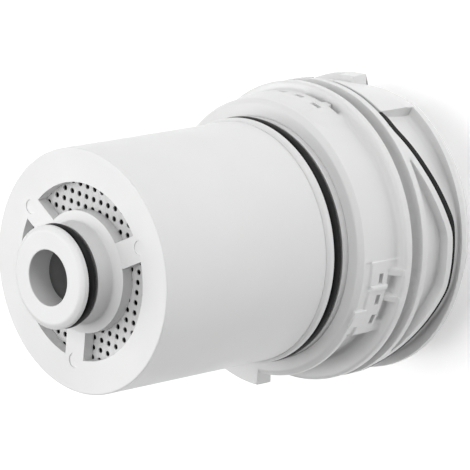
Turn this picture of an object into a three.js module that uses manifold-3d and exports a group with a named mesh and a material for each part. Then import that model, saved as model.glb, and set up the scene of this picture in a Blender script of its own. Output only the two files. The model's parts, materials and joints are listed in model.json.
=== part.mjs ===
// Replaceable shower filter cartridge with its locking end cap, standing on the cap.
// Millimetres, +Z up along the axis from the cap's flat base to the outlet spigot.
// Origin: centre of the cap's base. Angles are degrees about +Z from +X.
import * as THREE from "three";
import { mergeVertices } from "three/addons/utils/BufferGeometryUtils.js";
import Module from "manifold-3d";

const wasm = await Module();
wasm.setup();

// ---- driving dimensions -------------------------------------------------------------------
const GAP = 0.3; // clearance between neighbouring pieces

// Canister: the white tube and everything that lifts out with it.
const BODY_R = 25; // outside radius of the tube
const FACE_Z = 90.5; // height of the annular face with the windows
const BODY_WALL = 1.8;
const BODY_INNER_R = BODY_R - BODY_WALL;
const FACE_THICKNESS = 2.5;
const FACE_CHAMFER = 0.3;
const JOINT_Z = 46.1; // seam between the tube and the canister's base
const WINDOW_INNER_R = 12.4;
const WINDOW_OUTER_R = 18.1;
const SPOKE_WIDTH = 5.35;
const SPOKE_ANGLE = 45; // first of three spokes
const SPOKE_COUNT = 3;

// Outlet spigot on the hub.
const TIP_Z = 99.35;
const TIP_R = 10.5;
const TIP_FACE_R = 9.5;
const TIP_CHAMFER_RISE = 0.75;
const BORE_R = 5.65;
const BORE_DEPTH = 5.5;
const SPIGOT_GROOVE_TOP_Z = 97.8;
const SPIGOT_NECK_R = 10.2;
const HUB_RING_R = 10.9;
const HUB_RING_RISE = 0.5;
const HUB_FILLET_RISE = 1; // height over which the hub narrows to the spigot's neck
const TUBE_SOCKET_R = 8.2;
const BOSS_R = 9.4; // inner boss that holds the outlet tube
const BOSS_LOW_Z = 84.5;

// O-rings: both are the standard 2.65 mm section.
const RING_SECTION = 2.65;
const RING_PROUD = 0.1; // how far a ring stands out of its groove
const RING_SLACK = 0.05; // clearance all round a ring in its groove
const LIP_R = 25.6;
const LIP_LOW_Z = 44.4; // rear edge of the lip, front wall of the neck groove
const NECK_R = 25.4;
const NECK_CHAMFER = 0.8;
const LIP_CHAMFER_RISE = 0.5;

// Filter stack inside the tube, from the windows down.
const SCREEN_THICKNESS = 1;
const SCREEN_PITCH = 2.13;
const SCREEN_HOLE_R = 0.5;
const SCREEN_TURN = -16.9; // direction of the hole rows
const SCREEN_SHIFT = [1.71, 1.03]; // where the hole grid sits along and across its rows
const REAR_HOLE_R = 1.2;
const REAR_PITCH = 6.4;
const LAYER_GAP = 0.3;
const LAYERS = [
  ["front_fleece", 2, "fleece"],
  ["media_sulfite", 5, "sulfite"],
  ["middle_fleece", 1.5, "fleece"],
  ["media_kdf", 7, "kdf"],
  ["lower_fleece", 1.5, "fleece"],
  ["media_carbon", 14, "carbon"],
  ["rear_fleece", 2, "fleece"],
];
const BASE_RIM_Z = 48.6; // top of the base's rim, under the spring washer
const BASE_RIM_INNER_R = 21;
const BASE_FLOOR = 2.2;
const SPRING_INNER_R = 19.6;
const SPRING_THICKNESS = 0.5;
const SPRING_RISE = 0.3;
const SPRING_WAVES = 3;
const SPRING_Z = 49.2; // mean height of the spring washer's underside
const TUBE_OUTER_R = 7.9;
const TUBE_INNER_R = 6;
const TUBE_TOP_Z = TIP_Z - BORE_DEPTH - GAP;
const TUBE_LOW_Z = 42;
const TUBE_GROOVE_TOP_Z = 91.5;
const TUBE_RING_SECTION = 1.5;
const TUBE_RING_SLACK = 0.1;

// Collar: the ring that carries the canister and locks into the shower body.
const COLLAR_FACE_Z = 40.25;
const BAND_R = 29.15;
const BAND_CHAMFER = 0.95;
const RIM_R = 31.7;
const RIM_1_TOP_Z = 29.75;
const RIM_1_LOW_Z = 27.65;
const RIM_1_CHAMFER = 0.8;
const RIM_GROOVE_R = 27;
const RIM_2_TOP_Z = 24.65;
const FLANGE_FLOOR_R = 29.3; // wall between rim 2 and the wavy flange
const FLANGE_THICKNESS = 1.5;
const SOCKET_R = NECK_R + GAP;
const SHELF_Z = 31.6; // shelf that the canister stands on
const SHELF_LOW_Z = 29;
const SHELF_INNER_R = 20;
const DISC_THICKNESS = 2.4;
const SLEEVE_R = 26.7; // rear sleeve inside the cap
const SLEEVE_INNER_R = 24.6;
const SLEEVE_LOW_Z = 10.6;
const RING_FLANGE_LOW_Z = 38.3; // underside of the thin flange where the band is cut away
const RECESS_R = 26.9;
const LUG_LOW_Z = 36.15;
const LUG_ARC = 27; // degrees
const LUG_ANGLES = [156.7, 63];
const JOIN_R = 26.4; // pieces added to the band start inside its wall, at this radius

// Stretches of the band that are cut back: angles in degrees, radius left standing, heights.
const BAND_CUTS = [
  { from: -190, to: -135, r: RECESS_R, low: RIM_1_TOP_Z, high: RING_FLANGE_LOW_Z },
  { from: 14, to: 48, r: RECESS_R, low: RIM_1_TOP_Z, high: RING_FLANGE_LOW_Z },
  { from: -134.8, to: -101, r: 28.7, low: 37, high: 38.9 }, // strip before the side pad
  { from: -130, to: -107.4, r: 27.8, low: RIM_1_TOP_Z, high: 32.2 }, // hollow behind the side pad
  { from: -33, to: -15, r: 27.8, low: RIM_1_TOP_Z, high: 31.2 }, // hollow behind the upper pad
];

// Stretches that stand proud of it.
const BAND_PADS = [
  { from: -134.8, to: -101, r: 29.45, low: 32.2, high: 37 }, // side pad
  { from: -129.5, to: -121.5, r: 30.1, low: 36.3, high: 39.9 }, // stop block at its end
  { from: -113, to: -111, r: 30.1, low: 32.3, high: 36.8 }, // fin across it
  { from: -34.5, to: 13, r: 30, low: 31.2, high: 37 }, // upper pad
  { from: -29, to: -25.5, r: 30, low: 30.2, high: 31.4 }, // step on its rear edge
];
const SLOT_ROWS = [
  { r: 29.45, z: 34, angles: [-108.5, -117.7, -127.3] },
  { r: 30, z: 33.5, angles: [-5.7, -16.3, -26.9] },
];
const SLOT_SIZE = [3, 2.3, 1.15]; // depth, length and height of a slot's cutter
const SLOT_DEPTH = 1.6;
const GUSSET_ANGLES = [-106.4, -117.6];
const GUSSET_THICKNESS = 1.4;
const GUSSET_RISE = 2.6; // how far a gusset reaches up the band from rim 1

// Wavy seam: the collar's flange and the cap's front edge rise and fall together.
const SEAM_HIGH_Z = 23.2;
const SEAM_LOW_Z = 15.6;
const WAVE_ANGLES = [-104, 76]; // centres of the two low stretches
const WAVE_FLAT = 10; // half-width of a low stretch, degrees
const WAVE_FOOT = 45; // half-width including both ramps, degrees
const GASKET_THICKNESS = 1.1;
const GASKET_R = 31.4;

// End cap.
const CAP_NECK_R = 30.1;
const CAP_NECK_LOW_R = 29.1;
const CAP_RIM_TOP_Z = 13.4;
const CAP_RIM_Z = 12.6; // widest line of the cap
const CAP_RIM_R = 31.65;
const CAP_RIM_CHAMFER = 0.6;
const CAP_NECK_FILLET = 0.5;
const DOME_RADIUS = 26.5;
const DOME_CENTRE = [7.5, 23.75]; // radius and height of the dome arc's centre
const DOME_STEPS = 8;
const CAP_BORE_R = SLEEVE_R + GAP;
const CAP_WALL = 2.4;
const CAP_FLOOR = 3;
const BLOCK_ARC = 29; // degrees of the full-height block on the cap's neck
const BLOCK_ANGLES = [-26.5, 153.5];
const BLOCK_R = 31.5;
const NOTCH_R = 29.98; // distance of a thumb flat from the axis
const NOTCH_LEAD = 6; // from a block's centre to the line normal to its flat, degrees
const NOTCH_SHOULDER = 7.5; // from a block's centre to the shoulder that ends its flat

// Facets round the axis.
const OUTER_SEGMENTS = 72; // with five degrees each, every kink of the wave falls on a facet edge
const BODY_SEGMENTS = 48;
const INNER_SEGMENTS = 24;
const RING_SECTION_SEGMENTS = 6;
const FACET_PHASE = WAVE_ANGLES[0];

const MATERIALS = {
  white: { color: 0xe9e9e9, roughness: 0.45 },
  rubber: { color: 0x1c1c1c, roughness: 0.7 },
  fleece: { color: 0x2c2c2e, roughness: 0.95 },
  sulfite: { color: 0xdfdcd2, roughness: 0.9 },
  kdf: { color: 0xb08a45, roughness: 0.5, metalness: 0.6 },
  carbon: { color: 0x191919, roughness: 0.9 },
  screen: { color: 0xcfcfcf, roughness: 0.5 },
  steel: { color: 0xb9bcbf, roughness: 0.3, metalness: 1 },
};

// ---- geometry helpers ---------------------------------------------------------------------
const rad = THREE.MathUtils.degToRad;

// A closed three.js geometry as a manifold-3d solid.
function toSolid(geometry) {
  const bare = new THREE.BufferGeometry();
  bare.setAttribute("position", geometry.getAttribute("position"));
  bare.setIndex(geometry.index);
  const merged = mergeVertices(bare, 1e-4);
  const kept = [];
  const index = merged.index.array;
  for (let i = 0; i < index.length; i += 3) {
    const [a, b, c] = index.slice(i, i + 3);
    if (a !== b && b !== c && a !== c) kept.push(a, b, c);
  }
  return new wasm.Manifold(
    new wasm.Mesh({
      numProp: 3,
      vertProperties: merged.attributes.position.array,
      triVerts: new Uint32Array(kept),
    }),
  );
}

// A solid of revolution about Z from a closed outline of [radius, height] points.
function lathe(outline, segments = OUTER_SEGMENTS) {
  const points = outline.map(([r, z]) => new THREE.Vector2(r, z));
  if (THREE.ShapeUtils.isClockWise(points)) points.reverse();
  points.push(points[0].clone());
  const geometry = new THREE.LatheGeometry(points, segments);
  geometry.rotateX(Math.PI / 2);
  geometry.rotateZ(rad(FACET_PHASE));
  return toSolid(geometry);
}

// A flat-ended ring between two radii and two heights.
function ring(innerR, outerR, lowZ, highZ, segments = INNER_SEGMENTS) {
  return lathe([[innerR, lowZ], [outerR, lowZ], [outerR, highZ], [innerR, highZ]], segments);
}

// A ring whose low and high faces follow a height given for each angle.
function waveRing(innerR, outerR, lowOf, highOf) {
  const outline = [[innerR, 0], [outerR, 0], [outerR, 1], [innerR, 1], [innerR, 0]];
  const points = outline.map(([r, z]) => new THREE.Vector2(r, z));
  const geometry = new THREE.LatheGeometry(points, OUTER_SEGMENTS);
  geometry.rotateX(Math.PI / 2);
  geometry.rotateZ(rad(FACET_PHASE));
  const position = geometry.getAttribute("position");
  for (let i = 0; i < position.count; i++) {
    const angle = THREE.MathUtils.radToDeg(Math.atan2(position.getY(i), position.getX(i)));
    const height = position.getZ(i) > 0.5 ? highOf(angle) : lowOf(angle);
    position.setZ(i, height);
  }
  return toSolid(geometry);
}

// A ring sector between two radii, two angles and two heights.
function sector(innerR, outerR, fromAngle, toAngle, lowZ, highZ, segments = 8) {
  const shape = new THREE.Shape();
  shape.absarc(0, 0, outerR, rad(fromAngle), rad(toAngle), false);
  shape.absarc(0, 0, innerR, rad(toAngle), rad(fromAngle), true);
  shape.closePath();
  const geometry = new THREE.ExtrudeGeometry(shape, {
    depth: highZ - lowZ,
    bevelEnabled: false,
    curveSegments: segments,
  });
  geometry.translate(0, 0, lowZ);
  return toSolid(geometry);
}

// A box with its centre on the ray at an angle, lengths along the ray, across it and along Z.
function radialBox(centreR, angle, centreZ, lengths) {
  const geometry = new THREE.BoxGeometry(...lengths);
  geometry.translate(centreR, 0, centreZ);
  geometry.rotateZ(rad(angle));
  return toSolid(geometry);
}

// An arc of points from one angle to another about a centre, in [radius, height].
function arc([r, z], radius, fromAngle, toAngle, steps) {
  return Array.from({ length: steps + 1 }, (_, i) => {
    const angle = rad(fromAngle + ((toAngle - fromAngle) * i) / steps);
    return [r + radius * Math.cos(angle), z + radius * Math.sin(angle)];
  });
}

const root = new THREE.Group();

// Adds a solid to the model as a named mesh with one of the materials.
function addPiece(name, solid, material) {
  const mesh = solid.getMesh();
  const geometry = new THREE.BufferGeometry();
  geometry.setAttribute("position", new THREE.BufferAttribute(mesh.vertProperties, 3));
  geometry.setIndex(new THREE.BufferAttribute(mesh.triVerts, 1));
  geometry.computeVertexNormals();
  const piece = new THREE.Mesh(geometry, new THREE.MeshStandardMaterial(MATERIALS[material]));
  piece.name = name;
  root.add(piece);
}

// ---- wavy seam ----------------------------------------------------------------------------
// Height of the seam at an angle: high all round, with a low trapezoid at each wave angle.
function seamZ(angle) {
  const awayFrom = (centre) => Math.abs(THREE.MathUtils.euclideanModulo(angle - centre + 180, 360) - 180);
  const away = Math.min(...WAVE_ANGLES.map(awayFrom));
  const share = THREE.MathUtils.clamp((WAVE_FOOT - away) / (WAVE_FOOT - WAVE_FLAT), 0, 1);
  return THREE.MathUtils.lerp(SEAM_HIGH_Z, SEAM_LOW_Z, share);
}

// ---- canister -----------------------------------------------------------------------------
// One window: the gap between two neighbouring spokes, whose sides are parallel.
function windowCut(spokeAngle) {
  const half = SPOKE_WIDTH / 2;
  const next = spokeAngle + 360 / SPOKE_COUNT;
  const outer = THREE.MathUtils.radToDeg(Math.asin(half / WINDOW_OUTER_R));
  const inner = THREE.MathUtils.radToDeg(Math.asin(half / WINDOW_INNER_R));
  const shape = new THREE.Shape();
  shape.absarc(0, 0, WINDOW_OUTER_R, rad(spokeAngle + outer), rad(next - outer), false);
  shape.absarc(0, 0, WINDOW_INNER_R, rad(next - inner), rad(spokeAngle + inner), true);
  shape.closePath();
  const geometry = new THREE.ExtrudeGeometry(shape, {
    depth: FACE_THICKNESS + 2,
    bevelEnabled: false,
    curveSegments: 12,
  });
  geometry.translate(0, 0, FACE_Z - FACE_THICKNESS - 1);
  return toSolid(geometry);
}

function canisterShell() {
  const plateLow = FACE_Z - FACE_THICKNESS;
  const ringTop = FACE_Z + HUB_RING_RISE;
  const grooveLow = SPIGOT_GROOVE_TOP_Z - RING_SECTION;
  const grooveFloor = TIP_R + RING_PROUD - RING_SECTION - RING_SLACK;
  const shoulder = TIP_Z - BORE_DEPTH;
  let shell = lathe([
    [BODY_R, JOINT_Z + GAP],
    [BODY_R, FACE_Z - FACE_CHAMFER],
    [BODY_R - FACE_CHAMFER, FACE_Z],
    [WINDOW_INNER_R - 0.2, FACE_Z],
    [HUB_RING_R, ringTop],
    [SPIGOT_NECK_R, ringTop + HUB_FILLET_RISE],
    [SPIGOT_NECK_R, grooveLow],
    [grooveFloor, grooveLow],
    [grooveFloor, SPIGOT_GROOVE_TOP_Z],
    [TIP_R, SPIGOT_GROOVE_TOP_Z],
    [TIP_R, TIP_Z - TIP_CHAMFER_RISE],
    [TIP_FACE_R, TIP_Z],
    [BORE_R, TIP_Z],
    [BORE_R, shoulder],
    [TUBE_SOCKET_R, shoulder],
    [TUBE_SOCKET_R, BOSS_LOW_Z],
    [BOSS_R, BOSS_LOW_Z],
    [BOSS_R, plateLow],
    [BODY_INNER_R, plateLow],
    [BODY_INNER_R, JOINT_Z + GAP],
  ], BODY_SEGMENTS);
  for (let i = 0; i < SPOKE_COUNT; i++) {
    shell = shell.subtract(windowCut(SPOKE_ANGLE + (i * 360) / SPOKE_COUNT));
  }
  return shell;
}

// Cup that closes the canister's rear: spigot for the tube, lip, neck groove, neck and floor.
function canisterBase() {
  const grooveFloor = LIP_R + RING_PROUD - RING_SECTION - RING_SLACK;
  const grooveLow = LIP_LOW_Z - RING_SECTION;
  const floor = SHELF_Z + GAP;
  return lathe([
    [0, floor],
    [NECK_R - NECK_CHAMFER, floor],
    [NECK_R, floor + NECK_CHAMFER],
    [NECK_R, grooveLow],
    [grooveFloor, grooveLow],
    [grooveFloor, LIP_LOW_Z],
    [LIP_R, LIP_LOW_Z],
    [LIP_R, JOINT_Z - LIP_CHAMFER_RISE],
    [BODY_R, JOINT_Z],
    [BODY_INNER_R - GAP, JOINT_Z],
    [BODY_INNER_R - GAP, BASE_RIM_Z],
    [BASE_RIM_INNER_R, BASE_RIM_Z],
    [BASE_RIM_INNER_R, floor + BASE_FLOOR],
    [0, floor + BASE_FLOOR],
  ], BODY_SEGMENTS);
}

function oRing(outerR, centreZ) {
  const section = RING_SECTION / 2 - RING_SLACK;
  const outline = arc([outerR - section, centreZ], section, 0, 360, RING_SECTION_SEGMENTS).slice(0, -1);
  return lathe(outline, BODY_SEGMENTS);
}

// Whether a point of the face lies in a window, clear of the spokes.
function inWindow(point) {
  const radius = point.length();
  if (radius < WINDOW_INNER_R - 0.1 || radius > WINDOW_OUTER_R + 0.1) return false;
  const pitch = 360 / SPOKE_COUNT;
  const angle = THREE.MathUtils.radToDeg(point.angle());
  const fromSpoke = THREE.MathUtils.euclideanModulo(angle - SPOKE_ANGLE + pitch / 2, pitch) - pitch / 2;
  return Math.abs(radius * Math.sin(rad(fromSpoke))) > SPOKE_WIDTH / 2;
}

// Whether a point of the rear screen leaves a plain rim inside and outside.
function inRearField(point) {
  return point.length() > TUBE_OUTER_R + 2.5 && point.length() < BODY_INNER_R - 3;
}

// Perforated disc: holes on a square grid, only where the given test allows one.
function perforatedScreen(innerR, outerR, lowZ, { pitch, holeR, sides, allowed }) {
  const shape = new THREE.Shape().absarc(0, 0, outerR, 0, 2 * Math.PI, false);
  const centre = new THREE.Path().absarc(0, 0, innerR, 0, 2 * Math.PI, true);
  shape.holes.push(centre);
  const reach = Math.ceil(outerR / pitch) + 1;
  for (let i = -reach; i <= reach; i++) {
    for (let j = -reach; j <= reach; j++) {
      const at = new THREE.Vector2(i * pitch + SCREEN_SHIFT[0], j * pitch + SCREEN_SHIFT[1]);
      at.rotateAround(new THREE.Vector2(), rad(SCREEN_TURN));
      if (!allowed(at)) continue;
      const corners = Array.from({ length: sides }, (_, k) => {
        const angle = (-2 * Math.PI * k) / sides;
        return new THREE.Vector2(at.x + holeR * Math.cos(angle), at.y + holeR * Math.sin(angle));
      });
      shape.holes.push(new THREE.Path(corners));
    }
  }
  const geometry = new THREE.ExtrudeGeometry(shape, {
    depth: SCREEN_THICKNESS,
    bevelEnabled: false,
    curveSegments: INNER_SEGMENTS / 2,
  });
  geometry.translate(0, 0, lowZ);
  return toSolid(geometry);
}

function addCanister() {
  addPiece("canister_shell", canisterShell(), "white");
  addPiece("canister_base", canisterBase(), "white");
  addPiece("spigot_oring", oRing(TIP_R + RING_PROUD, SPIGOT_GROOVE_TOP_Z - RING_SECTION / 2), "rubber");
  addPiece("neck_oring", oRing(LIP_R + RING_PROUD, LIP_LOW_Z - RING_SECTION / 2), "rubber");

  const stackR = BODY_INNER_R - GAP;
  const holeR = BOSS_R + GAP;
  let top = FACE_Z - FACE_THICKNESS - LAYER_GAP;
  const inlet = { pitch: SCREEN_PITCH, holeR: SCREEN_HOLE_R, sides: 6, allowed: inWindow };
  addPiece("inlet_screen", perforatedScreen(holeR, stackR, top - SCREEN_THICKNESS, inlet), "screen");
  top -= SCREEN_THICKNESS + LAYER_GAP;
  for (const [name, thickness, material] of LAYERS) {
    const low = top - thickness;
    const innerR = top > BOSS_LOW_Z - GAP ? holeR : TUBE_OUTER_R + GAP;
    addPiece(name, ring(innerR, stackR, low, top), material);
    top = low - LAYER_GAP;
  }
  const rearLow = top - SCREEN_THICKNESS;
  const rear = { pitch: REAR_PITCH, holeR: REAR_HOLE_R, sides: 6, allowed: inRearField };
  addPiece("rear_screen", perforatedScreen(TUBE_OUTER_R + GAP, stackR, rearLow, rear), "screen");
  const springLow = (angle) => SPRING_Z + SPRING_RISE * Math.sin(rad(SPRING_WAVES * angle));
  const springHigh = (angle) => springLow(angle) + SPRING_THICKNESS;
  addPiece("stack_spring", waveRing(SPRING_INNER_R, stackR, springLow, springHigh), "steel");
  addTube();
}

// Centre tube that carries the filtered water up to the spigot, with its seal in a groove.
function addTube() {
  const grooveLow = TUBE_GROOVE_TOP_Z - TUBE_RING_SECTION - GAP;
  const grooveFloor = TUBE_SOCKET_R - TUBE_RING_SECTION + TUBE_RING_SLACK;
  const tube = lathe([
    [TUBE_INNER_R, TUBE_LOW_Z],
    [TUBE_OUTER_R, TUBE_LOW_Z],
    [TUBE_OUTER_R, grooveLow],
    [grooveFloor, grooveLow],
    [grooveFloor, TUBE_GROOVE_TOP_Z],
    [TUBE_OUTER_R, TUBE_GROOVE_TOP_Z],
    [TUBE_OUTER_R, TUBE_TOP_Z],
    [TUBE_INNER_R, TUBE_TOP_Z],
  ], INNER_SEGMENTS);
  addPiece("outlet_tube", tube, "white");
  const section = TUBE_RING_SECTION / 2 - TUBE_RING_SLACK;
  const centreZ = TUBE_GROOVE_TOP_Z - (TUBE_RING_SECTION + GAP) / 2;
  const centre = [TUBE_SOCKET_R - RING_SLACK - section, centreZ];
  const outline = arc(centre, section, 0, 360, RING_SECTION_SEGMENTS).slice(0, -1);
  addPiece("tube_oring", lathe(outline, INNER_SEGMENTS), "rubber");
}

// ---- collar -------------------------------------------------------------------------------
// Rib that braces rim 1 from the rear edge of the side pad.
function gusset(angle) {
  const foot = RIM_1_TOP_Z - 0.4;
  const profile = new THREE.Shape([
    new THREE.Vector2(JOIN_R, foot),
    new THREE.Vector2(RIM_R - 0.6, foot),
    new THREE.Vector2(BAND_R, RIM_1_TOP_Z + GUSSET_RISE),
    new THREE.Vector2(JOIN_R, RIM_1_TOP_Z + GUSSET_RISE),
  ]);
  const geometry = new THREE.ExtrudeGeometry(profile, { depth: GUSSET_THICKNESS, bevelEnabled: false });
  geometry.translate(0, 0, -GUSSET_THICKNESS / 2);
  geometry.rotateX(Math.PI / 2);
  geometry.rotateZ(rad(angle));
  return toSolid(geometry);
}

// Cuts the recesses, strips and hollows into the band, then adds its pads, slots and gussets.
function shapeBand(collar) {
  let shaped = collar;
  for (const { from, to, r, low, high } of BAND_CUTS) {
    shaped = shaped.subtract(sector(r, BAND_R + 1, from, to, low, high, 16));
  }
  for (const { from, to, r, low, high } of BAND_PADS) {
    shaped = shaped.add(sector(JOIN_R, r, from, to, low, high));
  }
  for (const { r, z, angles } of SLOT_ROWS) {
    const centreR = r - SLOT_DEPTH + SLOT_SIZE[0] / 2;
    for (const angle of angles) shaped = shaped.subtract(radialBox(centreR, angle, z, SLOT_SIZE));
  }
  for (const angle of GUSSET_ANGLES) shaped = shaped.add(gusset(angle));
  return shaped;
}

function collarBody() {
  return lathe([
    [SOCKET_R, COLLAR_FACE_Z],
    [BAND_R - BAND_CHAMFER, COLLAR_FACE_Z],
    [BAND_R, COLLAR_FACE_Z - BAND_CHAMFER],
    [BAND_R, RIM_1_TOP_Z],
    [RIM_R - RIM_1_CHAMFER, RIM_1_TOP_Z],
    [RIM_R, RIM_1_TOP_Z - RIM_1_CHAMFER],
    [RIM_R, RIM_1_LOW_Z],
    [RIM_GROOVE_R, RIM_1_LOW_Z],
    [RIM_GROOVE_R, RIM_2_TOP_Z],
    [RIM_R, RIM_2_TOP_Z],
    [RIM_R, SEAM_HIGH_Z],
    [SLEEVE_R, SEAM_HIGH_Z],
    [SLEEVE_R, SLEEVE_LOW_Z],
    [SLEEVE_INNER_R, SLEEVE_LOW_Z],
    [SLEEVE_INNER_R, SHELF_LOW_Z],
    [SHELF_INNER_R, SHELF_LOW_Z],
    [SHELF_INNER_R, SHELF_Z],
    [SOCKET_R, SHELF_Z],
  ]);
}

function collar() {
  const sunk = SLEEVE_R - 0.5; // joined pieces start inside the sleeve's wall
  const rise = SEAM_HIGH_Z + 0.6;
  let made = collarBody();
  made = made.add(waveRing(sunk, FLANGE_FLOOR_R, seamZ, () => rise));
  made = made.add(waveRing(sunk, RIM_R, seamZ, (angle) => seamZ(angle) + FLANGE_THICKNESS));
  made = shapeBand(made);
  for (const angle of LUG_ANGLES) {
    const [from, to] = [angle - LUG_ARC / 2, angle + LUG_ARC / 2];
    made = made.add(sector(JOIN_R, RIM_R, from, to, LUG_LOW_Z, COLLAR_FACE_Z));
  }
  return made;
}

function addCollar() {
  addPiece("collar", collar(), "white");
  const gasketTop = (angle) => seamZ(angle) - GAP / 2;
  const gasketLow = (angle) => gasketTop(angle) - GASKET_THICKNESS;
  addPiece("seam_gasket", waveRing(SLEEVE_R + GAP, GASKET_R, gasketLow, gasketTop), "rubber");
  const discTop = SHELF_LOW_Z - GAP;
  const disc = ring(0, SLEEVE_INNER_R - GAP, discTop - DISC_THICKNESS, discTop, BODY_SEGMENTS);
  addPiece("base_disc", disc, "white");
}

// ---- end cap ------------------------------------------------------------------------------
// Cutter for a thumb flat: everything beyond a plane, up to a radial shoulder.
function notchCut(blockAngle) {
  const normal = blockAngle + NOTCH_LEAD;
  const shoulder = blockAngle + NOTCH_SHOULDER;
  const end = blockAngle - BLOCK_ARC / 2 - 5;
  const onPlane = (angle) => NOTCH_R / Math.cos(rad(angle - normal));
  const polar = (radius, angle) =>
    new THREE.Vector2(radius * Math.cos(rad(angle)), radius * Math.sin(rad(angle)));
  const beyond = RIM_R + 8;
  const shape = new THREE.Shape([
    polar(onPlane(end), end),
    polar(beyond, end),
    polar(beyond, shoulder),
    polar(onPlane(shoulder), shoulder),
  ]);
  const geometry = new THREE.ExtrudeGeometry(shape, { depth: SEAM_HIGH_Z + 2, bevelEnabled: false });
  geometry.translate(0, 0, -1);
  return toSolid(geometry);
}

function endCap() {
  const top = SEAM_HIGH_Z;
  const [centreR, centreZ] = DOME_CENTRE;
  const innerRadius = DOME_RADIUS - CAP_WALL;
  const atHeight = (z, radius) => THREE.MathUtils.radToDeg(Math.asin((z - centreZ) / radius));
  const boreFoot = -THREE.MathUtils.radToDeg(Math.acos((CAP_BORE_R - centreR) / innerRadius));
  const dome = arc(DOME_CENTRE, DOME_RADIUS, atHeight(0, DOME_RADIUS), -25, DOME_STEPS);
  const inside = arc(DOME_CENTRE, innerRadius, boreFoot, atHeight(CAP_FLOOR, innerRadius), 3);
  let cap = lathe([
    ...dome,
    [CAP_RIM_R, CAP_RIM_Z],
    [CAP_RIM_R - CAP_RIM_CHAMFER, CAP_RIM_TOP_Z],
    [CAP_NECK_LOW_R + CAP_NECK_FILLET, CAP_RIM_TOP_Z],
    [CAP_NECK_LOW_R, CAP_RIM_TOP_Z + 2 * CAP_NECK_FILLET],
    [CAP_NECK_R, top],
    [CAP_BORE_R, top],
    ...inside,
    [0, CAP_FLOOR],
    [0, 0],
  ]);
  for (const angle of BLOCK_ANGLES) {
    const [from, to] = [angle - BLOCK_ARC / 2, angle + BLOCK_ARC / 2];
    cap = cap.add(sector(CAP_BORE_R + 0.5, BLOCK_R, from, to, CAP_RIM_Z, top, 14));
  }
  const capTop = (angle) => seamZ(angle) - GAP - GAP / 2 - GASKET_THICKNESS;
  cap = cap.subtract(waveRing(CAP_BORE_R - 2, RIM_R + 2, capTop, () => top + 3));
  for (const angle of BLOCK_ANGLES) cap = cap.subtract(notchCut(angle));
  return cap;
}

addCanister();
addCollar();
addPiece("end_cap", endCap(), "white");

export default root;
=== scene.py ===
"""Looks of the shower filter cartridge: fine surfaces, materials, light and camera round its CAD frame.

Outlines are in millimetres as (radius, height, rounding), measured up from the cap's flat base, and
angles are degrees about +Z from +X. Everything handed to Blender is in metres.
"""

import json
import math

import bmesh
import bpy
from mathutils import Matrix, Vector


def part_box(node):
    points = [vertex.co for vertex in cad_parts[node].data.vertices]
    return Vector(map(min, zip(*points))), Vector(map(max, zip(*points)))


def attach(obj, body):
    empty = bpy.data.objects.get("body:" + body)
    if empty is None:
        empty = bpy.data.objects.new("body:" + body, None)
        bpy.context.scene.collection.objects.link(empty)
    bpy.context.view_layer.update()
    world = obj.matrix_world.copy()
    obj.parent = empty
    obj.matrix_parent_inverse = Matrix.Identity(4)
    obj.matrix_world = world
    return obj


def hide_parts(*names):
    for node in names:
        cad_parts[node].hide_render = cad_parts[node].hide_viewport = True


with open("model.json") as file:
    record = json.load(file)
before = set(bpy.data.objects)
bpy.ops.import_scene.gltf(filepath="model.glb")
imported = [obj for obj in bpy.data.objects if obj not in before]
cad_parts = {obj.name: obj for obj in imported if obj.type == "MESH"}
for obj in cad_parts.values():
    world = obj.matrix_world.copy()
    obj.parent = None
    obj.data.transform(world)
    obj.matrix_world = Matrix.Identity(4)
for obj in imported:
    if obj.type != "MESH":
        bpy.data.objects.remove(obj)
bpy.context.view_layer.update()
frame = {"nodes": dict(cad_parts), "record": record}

MM = 0.001


def top_of(node):
    """Greatest height of a CAD node, in millimetres."""
    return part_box(node)[1].z / MM


def base_of(node):
    """Least height of a CAD node, in millimetres."""
    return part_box(node)[0].z / MM


def radius_of(node):
    """Half the width of a CAD node, in millimetres."""
    low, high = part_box(node)
    return (high.x - low.x) / 2 / MM


# ---- driving dimensions, from the frame ----------------------------------------------------
TIP_Z = top_of("canister_shell")
FACE_Z = TIP_Z - 8.85
BODY_R = radius_of("canister_shell") - 0.02
JOINT_Z = top_of("canister_base") - 2.5  # seam between the tube and the canister's base
LIP_LOW_Z = 44.4
NECK_LOW_Z = base_of("canister_base")
COLLAR_FACE_Z = top_of("collar")
RIM_R = radius_of("end_cap") - 0.05
SLEEVE_LOW_Z = base_of("collar")
FACET_STEP = 2  # degrees between the columns of a turned surface

WINDOW_INNER_R = 12.4
WINDOW_OUTER_R = 18.1
SPOKE_WIDTH = 5.35
SPOKE_ANGLES = (45, 165, 285)
PLATE_THICKNESS = 2.4
MARK_R = 1.5  # of the round marks on the spokes
MARK_CENTRE_R = 18.6
MARK_DEPTH = 0.2
SHEET_THICKNESS = 0.35  # of the perforated sheet
SHEET_EDGE = 0.04  # rounding of its edges
HOLE_R = 0.6
HOLE_PITCH = 2.13
HOLE_TURN = -16.9  # direction of the rows
HOLE_SHIFT = (1.71, 1.03)  # where the grid sits on the axis, along and across its rows
HOLE_FIELD = (11.4, 19.6)  # least and greatest distance of a hole from the axis
STACK_R = 22.8  # outer radius of the layers inside the canister
STACK_INNER_R = 9.8

BAND_R = 29.15
BAND_INNER_R = 25.41
FRONT_BEVEL = 0.95
RIM_1 = (29.75, 27.65)  # top and underside
RIM_2 = (24.65, 23.2)
GROOVE_R = 27.0
SKIRT_R = 29.3
FLANGE_THICKNESS = 1.6
FLANGE_OPENING = 0.6  # gap under rim 2 at which the wedge above the flange starts
LUGS = ((143.2, 170.2), (49.5, 76.5))
LUG_LOW_Z = 36.15

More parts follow.
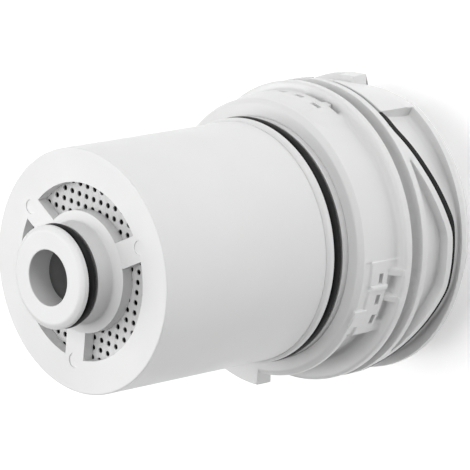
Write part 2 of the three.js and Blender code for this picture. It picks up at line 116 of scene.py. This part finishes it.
# The band from its front flange down to rim 1, as seven values: the flange's rear edge, the radius of the
# strip behind it, the height where the strip starts to rise and where it meets the plate, the radius and
# rear edge of the plate, and the radius of the hollow behind the plate.
PLAIN = (38.9, BAND_R, 37.0, 36.8, BAND_R, 32.2, BAND_R)
RECESSED = (38.3, 26.9, 37.0, 36.8, 26.9, 32.2, 26.9)
STRETCHES = (  # start and end angle, softness of the ends in degrees, and the seven values
    (-190, -134.2, 0.6, RECESSED),
    (14, 48, 0.6, RECESSED),
    (-134.8, -101, 0.5, (38.9, 28.95, 37.25, 37.0, 29.4, 32.2, 29.3)),  # side pad
    (-130, -107.4, 3, (38.9, 28.95, 37.25, 37.0, 29.4, 32.2, 28.3)),  # hollow behind it
    (-129.5, -121.5, 0.5, (39.9, 29.65, 36.5, 36.3, 29.4, 32.2, 28.3)),  # stop block at its end
    (-112.9, -111.1, 0.4, (38.9, 28.95, 37.0, 36.8, 29.95, 32.3, 28.3)),  # fin across it
    (-38, 14, 8, (38.6, 29.2, 38.4, 35.5, 29.8, 31.2, 29.8)),  # upper pad
    (-33, -15, 4, (38.6, 29.2, 38.4, 35.5, 29.9, 31.2, 27.8)),  # hollow behind it
    (-29, -25.5, 0.5, (38.6, 29.2, 38.4, 35.5, 30.0, 30.2, 28.2)),  # step on its rear edge
)
SLOT_DEPTH = 1.5
SLOTS = (  # angle, height
    (-108.5, 34.2), (-117.7, 33.95), (-127.3, 33.5), (-5.7, 32.6), (-16.3, 33.3), (-26.9, 34.0),
)
SLOT_ARC = 4.2
SLOT_HEIGHT = 1.15
GUSSETS = (-106.4, -117.6)
GUSSET_ARC = 2.8
GUSSET_FOOT_R = 31.0

# Wavy seam, by angle and height; it repeats half a turn away.
SEAM_KINKS = ((-157, 23.2), (-116.4, 15.65), (-94.2, 15.6), (-68.3, 20.42), (-50, 23.2))
SEAL_KINKS = (  # thickness of the seal under it
    (-165, 0.95), (-142, 0.8), (-122, 0.8), (-113, 0.7), (-94, 0.75), (-90, 1.55), (-44, 1.45), (-40, 0.95),
)
SEAL_R = 31.58
SEAL_INSET_R = 30.0  # where a thumb block covers it

CAP_RIM_Z = 11.4
CAP_RIM_TOP_Z = 12.75
CAP_NECK_R = 29.1
CAP_NECK_LOW_Z = 14.5
CAP_NECK_SLOPE = 0.147
CAP_NECK_SWELL = 1.1  # how much further out the neck stands under the low stretches of the seam
CAP_SWELL_Z = (15.0, 18.5)  # heights of the cap's edge with the whole swell and with none
CAP_WALL = 2.4
CAP_FLOOR_Z = 3.0
DOME_RADIUS = 26.5
DOME_CENTRE = (7.5, 23.75)
CAP_BORE_R = 27.0
THUMB_BLOCKS = ((-41, -4), (139, 176))
THUMB_SHOULDERS = (-12.5, 167.5)  # where a block's thumb dish ends against its stop
THUMB_DISH = ((0, 29.3), (11, 29.95), (18, 30.25), (24, 30.6), (28.5, 31.0))  # degrees back, radius
THUMB_LEAN = 0.2  # gain in the dish's radius with height above the rim
THUMB_UNDERCUT = 0.45  # loss in its radius with depth below the rim
THUMB_STOP_Z = 15.2  # top of the stop


# ---- mesh helpers --------------------------------------------------------------------------
def mix(a, b, share):
    return a + (b - a) * share


def smooth(share):
    share = min(max(share, 0.0), 1.0)
    return share * share * (3 - 2 * share)


def inside(angle, start, end, soft=0.5):
    """1 within an arc and 0 outside it, with a soft edge as wide as given, in degrees."""
    middle = (start + end) / 2
    away = abs((angle - middle + 180) % 360 - 180)
    return smooth(0.5 + ((end - start) / 2 - away) / soft)


def columns(edges, soft=0.5):
    """Angles of a turned surface's columns: even ones, and closer ones at each given edge."""
    even = {float(a) for a in range(-180, 180, FACET_STEP)}
    for edge in edges:
        for k in range(-2, 3):
            even.add(round((edge + k * soft / 4 + 180) % 360 - 180, 3))
    return sorted(even)


def rounded(corners, steps):
    """Outline with each corner (radius, height, rounding) turned into a short curve."""
    points = []
    for i, (r, z, rounding) in enumerate(corners):
        here = Vector((r, z))
        back = Vector(corners[i - 1][:2]) - here
        ahead = Vector(corners[(i + 1) % len(corners)][:2]) - here
        reach = min(rounding, 0.45 * back.length, 0.45 * ahead.length)
        start = here + back.normalized() * reach
        end = here + ahead.normalized() * reach
        for k in range(steps + 1):
            t = k / steps
            points.append(start.lerp(here, t).lerp(here.lerp(end, t), t))
    return points


def arc(centre, radius, start, end, steps):
    """Points (radius, height, 0) along an arc in the outline's plane."""
    out = []
    for k in range(steps + 1):
        a = math.radians(mix(start, end, k / steps))
        out.append((centre[0] + radius * math.cos(a), centre[1] + radius * math.sin(a), 0.0))
    return out


def finish_mesh(name, bm, sharp=50):
    """Object from a bmesh, closed, facing out, smooth except at edges steeper than sharp."""
    bmesh.ops.remove_doubles(bm, verts=bm.verts, dist=2e-7)
    bmesh.ops.dissolve_degenerate(bm, dist=1e-7, edges=bm.edges)
    bmesh.ops.recalc_face_normals(bm, faces=bm.faces)
    mesh = bpy.data.meshes.new(name)
    bm.to_mesh(mesh)
    bm.free()
    mesh.shade_smooth()
    mesh.set_sharp_from_angle(angle=math.radians(sharp))
    piece = bpy.data.objects.new(name, mesh)
    bpy.context.scene.collection.objects.link(piece)
    return piece


def turned(name, corners_at, edges=(), steps=3):
    """Skin whose closed outline, given for each angle, is turned about the cartridge's axis."""
    bm = bmesh.new()
    rings = []
    for angle in columns(edges):
        a = math.radians(angle)
        outline = rounded(corners_at(angle), steps)
        rings.append(
            [bm.verts.new((p.x * math.cos(a) * MM, p.x * math.sin(a) * MM, p.y * MM)) for p in outline]
        )
    count = len(rings[0])
    for ring, following in zip(rings, rings[1:] + rings[:1]):
        for k in range(count):
            after = (k + 1) % count
            bm.faces.new((ring[k], following[k], following[after], ring[after]))
    return finish_mesh(name, bm)


def weighted(piece):
    """Keeps flat faces flat beside their rounded edges."""
    modifier = piece.modifiers.new("even normals", "WEIGHTED_NORMAL")
    modifier.keep_sharp = True


def extruded(name, outline, low, high):
    """Prism from a flat outline of (x, y) points, in millimetres."""
    bm = bmesh.new()
    floor = [bm.verts.new((x * MM, y * MM, low * MM)) for x, y in outline]
    roof = [bm.verts.new((x * MM, y * MM, high * MM)) for x, y in outline]
    bm.faces.new(floor)
    bm.faces.new(roof)
    count = len(outline)
    for k in range(count):
        after = (k + 1) % count
        bm.faces.new((floor[k], floor[after], roof[after], roof[k]))
    return finish_mesh(name, bm)


def cut(piece, cutters):
    """Takes the cutters out of a piece for good and removes them."""
    for cutter in cutters:
        modifier = piece.modifiers.new("cut", "BOOLEAN")
        modifier.operation = "DIFFERENCE"
        modifier.solver = "EXACT"
        modifier.object = cutter
    graph = bpy.context.evaluated_depsgraph_get()
    mesh = bpy.data.meshes.new_from_object(piece.evaluated_get(graph))
    piece.modifiers.clear()
    piece.data = mesh
    for cutter in cutters:
        bpy.data.objects.remove(cutter, do_unlink=True)


def place(piece, body, nodes, material):
    """Puts a finished piece on its body, in place of its CAD nodes, with its material."""
    piece.data.materials.clear()
    piece.data.materials.append(material)
    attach(piece, body)
    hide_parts(*nodes)


# ---- materials -----------------------------------------------------------------------------
def new_material(name):
    material = bpy.data.materials.new(name)
    material.use_nodes = True
    tree = material.node_tree
    return material, tree, tree.nodes["Principled BSDF"]


def noise(tree, scale, detail=4.0):
    """Noise in the object's own space."""
    place_node = tree.nodes.new("ShaderNodeTexCoord")
    node = tree.nodes.new("ShaderNodeTexNoise")
    node.inputs["Scale"].default_value = scale
    node.inputs["Detail"].default_value = detail
    tree.links.new(place_node.outputs["Object"], node.inputs["Vector"])
    return node.outputs["Fac"]


def ramp(tree, factor, low, high, start=0.3, end=0.7):
    """Colour or grey value between low and high as the factor goes from start to end."""
    node = tree.nodes.new("ShaderNodeValToRGB")
    node.color_ramp.elements[0].position = start
    node.color_ramp.elements[1].position = end
    node.color_ramp.elements[0].color = (*low, 1)
    node.color_ramp.elements[1].color = (*high, 1)
    tree.links.new(factor, node.inputs["Fac"])
    return node.outputs["Color"]


def bump(tree, shader, height, strength, distance):
    node = tree.nodes.new("ShaderNodeBump")
    node.inputs["Strength"].default_value = strength
    node.inputs["Distance"].default_value = distance
    tree.links.new(height, node.inputs["Height"])
    tree.links.new(node.outputs["Normal"], shader.inputs["Normal"])


def grey(value):
    return (value, value, value)


def plastic(name, light, dark, roughness=(0.34, 0.46)):
    """Moulded plastic: faint mottling, uneven sheen and a fine spark-eroded skin."""
    material, tree, shader = new_material(name)
    colour = ramp(tree, noise(tree, 45), dark, light)
    tree.links.new(colour, shader.inputs["Base Color"])
    sheen = ramp(tree, noise(tree, 160), grey(roughness[0]), grey(roughness[1]))
    tree.links.new(sheen, shader.inputs["Roughness"])
    bump(tree, shader, noise(tree, 4200, 2), 0.12, 0.00003)
    shader.inputs["IOR"].default_value = 1.49
    return material


def rubber():
    """Seal rubber: black, slightly dusty, with a matt skin."""
    material, tree, shader = new_material("seal rubber")
    colour = ramp(tree, noise(tree, 700), grey(0.006), grey(0.012))
    tree.links.new(colour, shader.inputs["Base Color"])
    sheen = ramp(tree, noise(tree, 300), grey(0.38), grey(0.55))
    tree.links.new(sheen, shader.inputs["Roughness"])
    bump(tree, shader, noise(tree, 2600, 3), 0.2, 0.00004)
    shader.inputs["Specular IOR Level"].default_value = 0.2
    return material


def fleece():
    """Filter felt: dark fibres of mixed length."""
    material, tree, shader = new_material("filter felt")
    colour = ramp(tree, noise(tree, 1800, 8), grey(0.008), grey(0.05))
    tree.links.new(colour, shader.inputs["Base Color"])
    rough = ramp(tree, noise(tree, 900), grey(0.85), grey(1.0))
    tree.links.new(rough, shader.inputs["Roughness"])
    bump(tree, shader, noise(tree, 2400, 8), 0.9, 0.0003)
    return material


def granules(name, light, dark, size, metallic=0.0):
    """Packed granules: cells of two shades with deep gaps between them."""
    material, tree, shader = new_material(name)
    where = tree.nodes.new("ShaderNodeTexCoord")
    cells = tree.nodes.new("ShaderNodeTexVoronoi")
    cells.inputs["Scale"].default_value = 1 / size
    tree.links.new(where.outputs["Object"], cells.inputs["Vector"])
    tree.links.new(ramp(tree, noise(tree, 0.7 / size), dark, light), shader.inputs["Base Color"])
    rough = ramp(tree, cells.outputs["Distance"], grey(0.5), grey(0.9), 0.1, 0.6)
    tree.links.new(rough, shader.inputs["Roughness"])
    shader.inputs["Metallic"].default_value = metallic
    bump(tree, shader, cells.outputs["Distance"], 0.8, size / 3)
    return material


def spring_steel():
    """Drawn spring steel with fine lines along it."""
    material, tree, shader = new_material("spring steel")
    tree.links.new(ramp(tree, noise(tree, 500), grey(0.5), grey(0.66)), shader.inputs["Base Color"])
    tree.links.new(ramp(tree, noise(tree, 900), grey(0.2), grey(0.35)), shader.inputs["Roughness"])
    shader.inputs["Metallic"].default_value = 1.0
    bump(tree, shader, noise(tree, 3000), 0.15, 0.00003)
    return material


WHITE = plastic("white plastic", grey(0.78), grey(0.755))
# The screen is set greyer than the white plastic: painted shade for the shadow that falls on the sheet down
# in its windows.
SCREEN_PAINTED_SHADE = plastic("screen plastic painted shade", grey(0.60), grey(0.56), (0.4, 0.55))
# The outlet tube is white plastic; this dark grey is painted shade for the deep bore.
TUBE_PAINTED_SHADE = plastic("tube plastic painted bore shade", grey(0.32), grey(0.28), (0.4, 0.55))
RUBBER = rubber()
FELT = fleece()
LOOKS = {
    "white_plastic": WHITE,
    "screen_plastic": SCREEN_PAINTED_SHADE,
    "black_rubber": RUBBER,
    "dark_fleece": FELT,
    "sulfite_granules": granules("sulfite granules", (0.82, 0.8, 0.74), (0.6, 0.57, 0.5), 0.0011),
    "brass_granules": granules("copper-zinc granules", (0.75, 0.5, 0.2), (0.4, 0.25, 0.1), 0.0007, 0.9),
    "carbon_granules": granules("carbon granules", grey(0.05), grey(0.008), 0.0013),
    "spring_steel": spring_steel(),
}


def dress_frame():
    """Gives every CAD node the material of its slot, so that none shows plain."""
    for entry in frame["record"]["subparts"]:
        node = frame["nodes"][entry["node"]]
        for slot in node.material_slots:
            slot.material = LOOKS[entry["material_slot"]]


# ---- canister ------------------------------------------------------------------------------
def window_outline(angle):
    """Flat outline of one window: two arcs and the parallel sides of the spokes beside it."""
    half = SPOKE_WIDTH / 2
    points = []
    following = angle + 120
    for radius, backwards in ((WINDOW_OUTER_R, False), (WINDOW_INNER_R, True)):
        lean = math.degrees(math.asin(half / radius))
        start, end = angle + lean, following - lean
        span = [mix(start, end, k / 32) for k in range(33)]
        for a in reversed(span) if backwards else span:
            points.append((radius * math.cos(math.radians(a)), radius * math.sin(math.radians(a))))
    return points


def disc_outline(radius, centre_r, angle):
    centre = Vector((centre_r * math.cos(math.radians(angle)), centre_r * math.sin(math.radians(angle))))
    turns = [math.radians(12 * k) for k in range(30)]
    return [(centre.x + radius * math.cos(a), centre.y + radius * math.sin(a)) for a in turns]


def add_shell():
    plate_low = FACE_Z - PLATE_THICKNESS
    corners = [
        (BODY_R, JOINT_Z + 0.04, 0.04),
        (BODY_R, FACE_Z, 0.35),
        (12.4, FACE_Z, 0.25),
        (10.95, FACE_Z + 0.5, 0.25),
        (10.35, FACE_Z + 0.75, 0.5),
        (10.2, TIP_Z - 4.25, 0.15),
        (7.95, TIP_Z - 4.25, 0.1),
        (7.95, TIP_Z - 1.55, 0.1),
        (10.5, TIP_Z - 1.55, 0.15),
        (10.5, TIP_Z - 0.65, 0.35),
        (9.45, TIP_Z, 0.4),
        (5.65, TIP_Z, 0.25),
        (5.65, TIP_Z - 5.5, 0.1),
        (8.2, TIP_Z - 5.5, 0.1),
        (8.2, 84.5, 0.1),
        (9.4, 84.5, 0.1),
        (9.4, plate_low, 0.3),
        (23.2, plate_low, 0.3),
        (23.2, JOINT_Z + 0.04, 0.04),
    ]
    shell = turned("shell", lambda angle: corners, steps=4)
    cutters = [
        extruded("window cutter", window_outline(angle), plate_low - 1, FACE_Z + 0.2)
        for angle in SPOKE_ANGLES
    ]
    cut(shell, cutters)
    marks = [
        extruded(
            "mark cutter", disc_outline(MARK_R, MARK_CENTRE_R, angle), FACE_Z - MARK_DEPTH, FACE_Z + 1
        )
        for angle in SPOKE_ANGLES
    ]
    cut(shell, marks)
    edges = shell.modifiers.new("edges", "BEVEL")
    edges.width = 0.12 * MM
    edges.segments = 2
    edges.limit_method = "ANGLE"
    edges.angle_limit = math.radians(50)
    weighted(shell)
    place(shell, "canister", ["canister_shell"], WHITE)


def add_base():
    corners = [
        (0, NECK_LOW_Z, 0),
        (24.5, NECK_LOW_Z, 0.3),
        (25.4, NECK_LOW_Z + 0.9, 0.3),
        (25.4, LIP_LOW_Z - 2.65, 0.2),
        (23.0, LIP_LOW_Z - 2.65, 0.1),
        (23.0, LIP_LOW_Z, 0.1),
        (25.6, LIP_LOW_Z, 0.15),
        (25.6, JOINT_Z - 0.6, 0.3),
        (25.1, JOINT_Z - 0.02, 0.1),
        (22.9, JOINT_Z - 0.02, 0.1),
        (22.9, top_of("canister_base"), 0.2),
        (21.0, top_of("canister_base"), 0.2),
        (21.0, NECK_LOW_Z + 2.2, 1.0),
        (0, NECK_LOW_Z + 2.2, 0),
    ]
    base = turned("base_cup", lambda angle: corners)
    weighted(base)
    place(base, "canister", ["canister_base"], WHITE)


def add_ring(name, node, body, outer_r, middle_z, section):
    centre = (outer_r - section / 2, middle_z)
    outline = arc(centre, section / 2, 0, 360, 28)[:-1]
    ring = turned(name, lambda angle: outline, steps=1)
    place(ring, body, [node], RUBBER)


def add_screen():
    """Perforated sheet: a flat curve with round holes on a square grid, given thickness."""
    high = FACE_Z - PLATE_THICKNESS - 0.05
    low = high - SHEET_THICKNESS
    curve = bpy.data.curves.new("screen", "CURVE")
    curve.dimensions = "2D"
    curve.fill_mode = "BOTH"
    curve.extrude = (SHEET_THICKNESS / 2 - SHEET_EDGE) * MM
    curve.bevel_depth = SHEET_EDGE * MM
    curve.bevel_resolution = 1

    def ring(centre, radius, count):
        spline = curve.splines.new("POLY")
        spline.points.add(count - 1)
        spline.use_cyclic_u = True
        for k, point in enumerate(spline.points):
            a = 2 * math.pi * k / count
            x, y = centre.x + radius * math.cos(a), centre.y + radius * math.sin(a)
            point.co = (x * MM, y * MM, 0, 1)

    ring(Vector((0, 0)), STACK_R, 120)
    ring(Vector((0, 0)), STACK_INNER_R, 72)
    turn, shift = Matrix.Rotation(math.radians(HOLE_TURN), 2), Vector(HOLE_SHIFT)
    nearest, furthest = HOLE_FIELD
    rows = range(-12, 13)
    for i in rows:
        for j in rows:
            centre = turn @ (Vector((i * HOLE_PITCH, j * HOLE_PITCH)) + shift)
            if nearest < centre.length < furthest:
                ring(centre, HOLE_R, 16)
    carrier = bpy.data.objects.new("screen curve", curve)
    bpy.context.scene.collection.objects.link(carrier)
    graph = bpy.context.evaluated_depsgraph_get()
    bm = bmesh.new()
    bm.from_mesh(bpy.data.meshes.new_from_object(carrier.evaluated_get(graph)))
    bpy.data.objects.remove(carrier, do_unlink=True)
    bmesh.ops.translate(bm, verts=bm.verts, vec=(0, 0, (low + high) / 2 * MM))
    screen = finish_mesh("screen", bm)
    # Its grey is painted shade from the recessed windows on a plastic sheet.
    place(screen, "canister", ["inlet_screen"], SCREEN_PAINTED_SHADE)


def add_felt():
    """Top layer of felt under the screen, with an uneven upper face."""
    low, high = base_of("front_fleece"), top_of("front_fleece")

    def corners(angle):
        lift = 0.12 * math.sin(math.radians(11 * angle)) * math.sin(math.radians(5 * angle + 40))
        return [
            (STACK_INNER_R, low, 0.1),
            (STACK_R, low, 0.1),
            (STACK_R, high - 0.2, 0.4),
            (16.0, high - 0.15 + lift, 0.5),
            (12.5, high - 0.15 - lift, 0.5),
            (STACK_INNER_R, high - 0.2, 0.4),
        ]

    felt = turned("felt_top", corners)
    place(felt, "canister", ["front_fleece"], FELT)


def add_tube():
    top, low = top_of("outlet_tube"), base_of("outlet_tube")
    corners = [
        (6.0, low, 0.2), (7.9, low, 0.2), (7.9, 89.7, 0.1), (6.8, 89.7, 0.1),
        (6.8, 91.5, 0.1), (7.9, 91.5, 0.1), (7.9, top, 0.2), (6.0, top, 0.2),
    ]
    tube = turned("tube", lambda angle: corners)
    # The dark grey here is painted shade inside the bore, not the tube's own colour.
    place(tube, "canister", ["outlet_tube"], TUBE_PAINTED_SHADE)


# ---- collar --------------------------------------------------------------------------------
def along(kinks, angle):
    """Value at an angle between straight stretches from kink to kink, repeated every half turn."""
    angle = kinks[0][0] + (angle - kinks[0][0]) % 180
    ahead = (*kinks[1:], (kinks[0][0] + 180, kinks[0][1]))
    for (start, low), (end, high) in zip(kinks, ahead):
        if angle <= end:
            return mix(low, high, (angle - start) / (end - start))


def softened(kinks, angle, reach=2.0):
    """The same, averaged over a few degrees, so that its kinks are a little rounded."""
    return sum(along(kinks, angle + reach * k / 2) for k in range(-2, 3)) / 5


def seam_z(angle):
    return softened(SEAM_KINKS, angle)


def cap_top_z(angle):
    """Upper edge of the cap, under the seal."""
    return seam_z(angle) - softened(SEAL_KINKS, angle) - 0.1


def wave_edges():
    """Angles of the seam's kinks."""
    return [angle + half for angle, _ in SEAM_KINKS for half in (0, 180)]


def block_edges():
    """Angles where the cap's thumb blocks start and end."""
    return [angle for arc_ends in THUMB_BLOCKS for angle in arc_ends]


def most(angle, arcs, soft=0.5):
    return max(inside(angle, start, end, soft) for start, end in arcs)


def band_levels(angle):
    """The band's seven values at an angle."""
    levels = PLAIN
    for start, end, soft, values in STRETCHES:
        share = inside(angle, start, end, soft)
        levels = [mix(a, b, share) for a, b in zip(levels, values)]
    return levels


def slot_at(angle):
    """Height of the nearest slot and how far an angle is inside it, from 0 to 1."""
    slots = [(inside(angle, a - SLOT_ARC / 2, a + SLOT_ARC / 2, 0.4), z) for a, z in SLOTS]
    share, height = max(slots)
    return (height if share > 0 else 34.0), share


def collar_corners(angle):
    """Section of the collar: front flange, band, two rims, wavy flange, sleeve and shelf."""
    seam = seam_z(angle)
    lug = most(angle, LUGS)
    flange_low, strip_r, strip_low, plate_high, plate_r, plate_low, hollow_r = band_levels(angle)
    front_r = mix(BAND_R, RIM_R, lug)
    front_bevel = mix(FRONT_BEVEL, 0.15, lug)
    flange_low = mix(flange_low, LUG_LOW_Z, lug)
    strip_low = min(strip_low, flange_low - 0.1)
    plate_high = min(plate_high, strip_low - 0.1)
    slot_z, sunk = slot_at(angle)
    slot_r = plate_r - SLOT_DEPTH * sunk
    brace = max(inside(angle, g - GUSSET_ARC / 2, g + GUSSET_ARC / 2, 0.4) for g in GUSSETS)
    brace_r = mix(hollow_r, BAND_R, brace)
    foot_r = mix(hollow_r, GUSSET_FOOT_R, brace)

    flange_top = min(seam + FLANGE_THICKNESS, RIM_2[1])
    opened = smooth((RIM_2[1] - seam - FLANGE_THICKNESS - FLANGE_OPENING) / 0.1)
    skirt_r = mix(RIM_R, SKIRT_R, opened)
    return [
        (BAND_INNER_R, COLLAR_FACE_Z, 0.15),
        (front_r - front_bevel, COLLAR_FACE_Z, 0.4),
        (front_r, COLLAR_FACE_Z - front_bevel, 0.3),
        (front_r, flange_low, 0.15),
        (strip_r, flange_low, 0.25),
        (strip_r, strip_low, 0.3),
        (plate_r, plate_high, 0.2),
        (plate_r, slot_z + SLOT_HEIGHT / 2, 0.0),
        (slot_r, slot_z + SLOT_HEIGHT / 2, 0.0),
        (slot_r, slot_z - SLOT_HEIGHT / 2, 0.0),
        (plate_r, slot_z - SLOT_HEIGHT / 2, 0.0),
        (plate_r, plate_low, 0.2),
        (brace_r, plate_low, 0.1),
        (foot_r, RIM_1[0], 1.1 * (1 - brace)),
        (RIM_R, RIM_1[0], 0.8),
        (RIM_R, RIM_1[1], 0.35),
        (GROOVE_R, RIM_1[1], 0.5),
        (GROOVE_R, RIM_2[0], 0.5),
        (RIM_R, RIM_2[0], 0.2),
        (RIM_R, RIM_2[1], 0.1),
        (skirt_r, RIM_2[1], 0.2),
        (skirt_r, flange_top, 0.3),
        (RIM_R, flange_top, 0.12),
        (RIM_R, seam, 0.12),
        (27.4, seam, 0.2),
        (26.7, seam - 0.5, 0.3),
        (26.7, SLEEVE_LOW_Z, 0.4),
        (24.6, SLEEVE_LOW_Z, 0.4),
        (24.6, 29.0, 0.3),
        (20.0, 29.0, 0.2),
        (20.0, 31.6, 0.2),
        (BAND_INNER_R, 31.6, 0.3),
    ]


def add_collar():
    edges = wave_edges()
    for start, end in [*LUGS, *(stretch[:2] for stretch in STRETCHES)]:
        edges += [start, end]
    for centre, _ in SLOTS:
        edges += [centre - SLOT_ARC / 2, centre + SLOT_ARC / 2]
    for centre in GUSSETS:
        edges += [centre - GUSSET_ARC / 2, centre + GUSSET_ARC / 2]
    collar = turned("collar_ring", collar_corners, edges)
    weighted(collar)
    place(collar, "collar", ["collar"], WHITE)


def add_gasket():
    def corners(angle):
        top, low = seam_z(angle) - 0.05, cap_top_z(angle) + 0.05
        outer_r = mix(SEAL_R, SEAL_INSET_R, most(angle, THUMB_BLOCKS))
        return [(27.2, top, 0.1), (outer_r, top, 0.25), (outer_r, low, 0.25), (27.2, low, 0.1)]

    gasket = turned("seam_seal", corners, wave_edges() + block_edges())
    place(gasket, "collar", ["seam_gasket"], RUBBER)


def add_disc():
    low, high = base_of("base_disc"), top_of("base_disc")
    corners = [
        (0, low + 0.8, 0), (12.0, low + 0.8, 0.4), (13.0, low, 0.4), (24.2, low, 0.4),
        (24.2, high, 0.4), (0, high, 0),
    ]
    disc = turned("well_disc", lambda angle: corners)
    weighted(disc)
    place(disc, "collar", ["base_disc"], WHITE)


# ---- end cap -------------------------------------------------------------------------------
def dish_r(angle):
    """Radius of a block's thumb dish at the rim's height, or a large radius beside the blocks."""
    for shoulder in THUMB_SHOULDERS:
        back = (shoulder - angle + 180) % 360 - 180
        for (start, low), (end, high) in zip(THUMB_DISH, THUMB_DISH[1:]):
            if start <= back <= end:
                return mix(low, high, (back - start) / (end - start))
    return 99.0


def cap_corners(angle):
    """Section of the cap: neck, ledge, rim, dome, flat base, and the cup inside."""
    top = cap_top_z(angle)
    block = most(angle, THUMB_BLOCKS)
    limit = dish_r(angle)
    stop = block if limit > RIM_R else 0.0

    def leaning(radius, z):
        return min(radius, limit + THUMB_LEAN * (z - CAP_RIM_Z))

    full, none = CAP_SWELL_Z
    neck_r = CAP_NECK_R + CAP_NECK_SWELL * min(1.0, max(0.0, (none - top) / (none - full)))
    neck_low = min(mix(CAP_NECK_LOW_Z, THUMB_STOP_Z + 0.3, stop), top - 0.35)
    ledge = mix(CAP_RIM_TOP_Z, THUMB_STOP_Z, stop)
    dish_end_r = THUMB_DISH[0][1]
    rim_r = RIM_R - 0.1
    block_top_r = dish_end_r + THUMB_LEAN * (top - CAP_RIM_Z) if stop else rim_r
    block_low_r = dish_end_r + THUMB_LEAN * (neck_low - CAP_RIM_Z) if stop else rim_r
    neck_top_r = mix(neck_r + (top - CAP_NECK_LOW_Z) * CAP_NECK_SLOPE, block_top_r, block)
    neck_low_r = mix(neck_r + 0.05, block_low_r, block)
    ledge_r = mix(neck_r + 0.25, RIM_R - 0.2, block)

    (centre_r, centre_z), turn = DOME_CENTRE, math.degrees
    meet_r = min(limit, 30.2)
    meet = -turn(math.acos((meet_r - centre_r) / DOME_RADIUS))
    rim = turn(math.asin((CAP_RIM_Z - centre_z) / DOME_RADIUS))
    foot = turn(math.asin(-centre_z / DOME_RADIUS))
    dome = [
        *arc(DOME_CENTRE, DOME_RADIUS, rim, min(meet, rim), 4)[1:],
        *arc(DOME_CENTRE, DOME_RADIUS, min(meet, rim), foot, 14)[1:],
    ]
    under_r = dish_end_r if stop else limit
    dome = [(min(r, under_r - THUMB_UNDERCUT * (CAP_RIM_Z - z)), z, 0.0) for r, z, _ in dome]
    if stop:
        dome[0] = (under_r, CAP_RIM_Z - 0.1, 0.0)
    inner = DOME_RADIUS - CAP_WALL
    bore_foot = -turn(math.acos((CAP_BORE_R - centre_r) / inner))
    floor = turn(math.asin((CAP_FLOOR_Z - centre_z) / inner))
    outline = [
        (CAP_BORE_R, top, 0.2),
        (leaning(neck_top_r, top), top, 0.25),
        (leaning(neck_low_r, neck_low), neck_low, 0.3),
        (leaning(ledge_r, ledge), ledge, mix(0.5, 0.15, stop)),
        (leaning(rim_r, CAP_RIM_TOP_Z), CAP_RIM_TOP_Z, 0.12),
        (min(RIM_R, limit), CAP_RIM_Z, 0.25),
        *dome[:-1],
        (dome[-1][0], 0.0, 0.5),
        (0.0, 0.0, 0.0),
        (0.0, CAP_FLOOR_Z, 0.0),
    ]
    return outline + list(reversed(arc(DOME_CENTRE, inner, bore_foot, floor, 8)))


def add_cap():
    edges = wave_edges() + block_edges()
    for shoulder in THUMB_SHOULDERS:
        edges += [shoulder, shoulder - THUMB_DISH[-1][0]]
    cap = turned("cap", cap_corners, edges)
    weighted(cap)
    place(cap, "cap", ["end_cap"], WHITE)


# ---- stage, light and camera ---------------------------------------------------------------
FLOOR_GLOW = 0.28  # a lit table, which lifts the contact shadow
WORLD_STRENGTH = 0.04
LIGHTS = (  # name, place, width and power
    ("overhead", (0.15, 0.0, 1.6), 1.6, 18.5),
    ("behind", (0.15, 1.1, 1.1), 1.2, 10),
    ("side", (1.2, -0.9, 0.45), 0.8, 6.7),
    ("front", (0.0, -1.5, 0.45), 0.8, 1.2),
    ("camera side", (0.2, -1.1, 1.1), 1.2, 1.2),
)
LIGHT_TARGET = (0, 0, 0.05)
LENS = 323.44
CAMERA_PLACE = (0.08266, -0.63016, 0.64353)
CAMERA_RIGHT = (-0.09753, -0.69054, -0.71669)
CAMERA_UP = (0.99087, 0.0, -0.13484)


def add_floor():
    bm = bmesh.new()
    bmesh.ops.create_grid(bm, x_segments=8, y_segments=8, size=3.0)
    floor = finish_mesh("floor", bm)
    material, tree, shader = new_material("pale floor")
    colour = ramp(tree, noise(tree, 3), grey(0.93), grey(0.95))
    tree.links.new(colour, shader.inputs["Base Color"])
    shader.inputs["Roughness"].default_value = 0.9
    shader.inputs["Emission Color"].default_value = (1, 1, 1, 1)
    shader.inputs["Emission Strength"].default_value = FLOOR_GLOW
    floor.data.materials.append(material)


def add_light(name, location, size, power):
    data = bpy.data.lights.new(name, "AREA")
    data.shape = "DISK"
    data.size = size
    data.energy = power
    lamp = bpy.data.objects.new(name, data)
    lamp.location = location
    aim = Vector(LIGHT_TARGET) - Vector(location)
    lamp.rotation_euler = aim.to_track_quat("-Z", "Y").to_euler()
    bpy.context.scene.collection.objects.link(lamp)


def add_lights():
    world = bpy.data.worlds.new("studio")
    world.use_nodes = True
    world.node_tree.nodes["Background"].inputs["Color"].default_value = (1, 1, 1, 1)
    world.node_tree.nodes["Background"].inputs["Strength"].default_value = WORLD_STRENGTH
    bpy.context.scene.world = world
    for name, location, size, power in LIGHTS:
        add_light(name, location, size, power)


def add_camera():
    """Camera on its side, looking down on the standing cartridge from the spigot's end."""
    data = bpy.data.cameras.new("camera")
    data.sensor_width = 36
    data.lens = LENS
    data.clip_start = 0.01
    camera = bpy.data.objects.new("camera", data)
    right, up = Vector(CAMERA_RIGHT), Vector(CAMERA_UP)
    turn = Matrix((right, up, right.cross(up))).transposed().to_4x4()
    camera.matrix_world = Matrix.Translation(CAMERA_PLACE) @ turn
    bpy.context.scene.collection.objects.link(camera)
    bpy.context.scene.camera = camera


dress_frame()
add_shell()
add_base()
add_ring("spigot_seal", "spigot_oring", "canister", 10.6, TIP_Z - 2.88, 2.55)
add_ring("neck_seal_ring", "neck_oring", "neck_seal", 25.68, LIP_LOW_Z - 1.4, 2.45)
add_screen()
add_felt()
add_tube()
add_collar()
add_gasket()
add_disc()
add_cap()
add_floor()
add_lights()
add_camera()
bpy.context.scene.view_settings.view_transform = "Standard"
